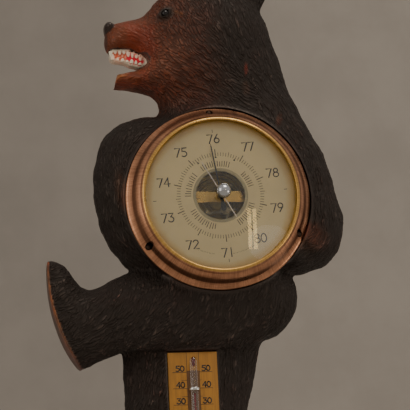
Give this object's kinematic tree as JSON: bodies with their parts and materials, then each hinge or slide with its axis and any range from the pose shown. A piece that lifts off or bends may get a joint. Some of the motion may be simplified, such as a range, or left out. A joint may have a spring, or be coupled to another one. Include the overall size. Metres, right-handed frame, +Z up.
{
  "type": "carved bear wall barometer",
  "caption": "Carved wooden bear in profile that hangs on a wall, one leg raised, with an aneroid barometer on its belly and a thermometer on its standing leg.",
  "frame": {"origin": "point on the flat back above the centre of mass, where the piece hangs on the wall", "axes": "+X to the right seen from the room, +Y into the wall, +Z up"},
  "size_m": [0.1634, 0.058, 0.347],
  "materials": {
    "stained_wood": "dark brown stain over carved fur, red-brown on the face, worn at the edges",
    "black_glass": "glossy black bead",
    "brass": "aged, satin",
    "dial_face": "cream print on a golden plate",
    "dark_metal": "blackened",
    "bright_metal": "bright, slightly worn",
    "clear_glass": "clear",
    "copper_coloured_metal": "copper-coloured, brushed round the ring",
    "golden_wood": "golden varnish with dark print"
  },
  "bodies": {
    "carving": {"bear_carving": "stained_wood", "eye_bead": "black_glass", "barometer_case": "brass", "pressure_capsule": "brass", "movement_bridge": "brass", "dial": "dial_face", "barometer_glass": "clear_glass", "bezel": "copper_coloured_metal", "bezel_screw_1": "dark_metal", "bezel_screw_2": "dark_metal", "bezel_screw_3": "dark_metal", "thermometer_plate": "golden_wood", "thermometer_tube": "clear_glass", "tube_clip_upper": "bright_metal", "tube_clip_lower": "bright_metal"},
    "indicator": {"indicator_hand": "dark_metal"},
    "setting": {"set_hand": "bright_metal", "set_knob": "bright_metal"}
  },
  "joints": [
    {"name": "indicator_turn", "type": "hinge", "parent": "carving", "child": "indicator", "pos_m": [0.004, 0, -0.092], "axis": [0, 1, 0], "range_deg": [-175, 148]},
    {"name": "set_turn", "type": "hinge", "parent": "carving", "child": "setting", "pos_m": [0.004, 0, -0.092], "axis": [0, 1, 0], "continuous": true}
  ]
}
